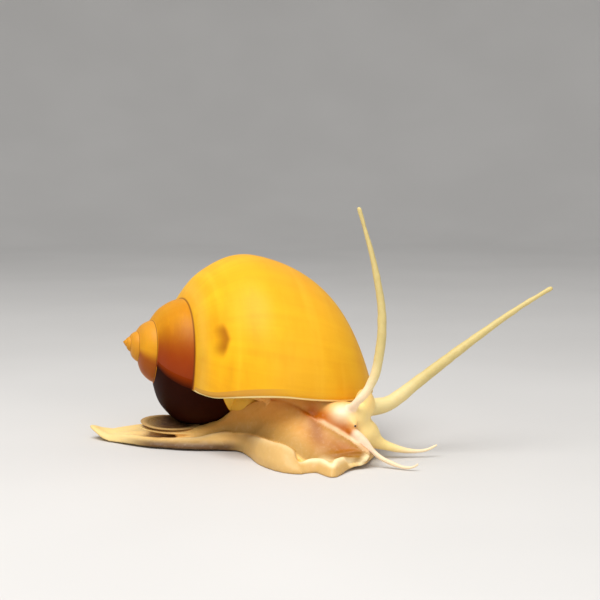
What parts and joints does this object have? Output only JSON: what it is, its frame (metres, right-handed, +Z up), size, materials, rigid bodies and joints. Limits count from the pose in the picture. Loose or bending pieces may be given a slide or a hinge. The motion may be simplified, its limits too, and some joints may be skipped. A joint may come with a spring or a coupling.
{
  "type": "apple snail",
  "caption": "Life-size still model of a golden apple snail at rest: globose coiled shell over a broad wavy foot, with long feelers, mouth palps, stalked eyes and a horny door.",
  "frame": {"origin": "on the flat sole of the foot, at floor level under the coiling axis of the shell", "axes": "+X towards the head, +Y towards the animal's left side, +Z up"},
  "size_m": [0.0928, 0.0513, 0.0488],
  "materials": {
    "shell": "smooth glossy golden shell with fine growth lines, dark brown on the lower side of the older whorl",
    "flesh": "moist, finely wrinkled yellow-orange skin, brown in the folds",
    "feeler": "moist pale yellow skin with fine rings",
    "operculum": "thin brown horn with concentric growth lines and a pale edge",
    "eye": "glossy black"
  },
  "bodies": {
    "root": {"shell": "shell", "mantle": "flesh", "foot_tail": "flesh", "foot_middle": "flesh", "foot_front": "flesh", "neck": "flesh", "head": "flesh", "tentacle_right_base": "feeler", "tentacle_right_middle": "feeler", "tentacle_right_tip": "feeler", "tentacle_left_base": "feeler", "tentacle_left_middle": "feeler", "tentacle_left_tip": "feeler", "palp_right": "feeler", "palp_left": "feeler", "eye_stalk_right": "flesh", "eye_right": "eye", "eye_stalk_left": "flesh", "eye_left": "eye", "siphon": "flesh", "operculum": "operculum"}
  },
  "joints": []
}
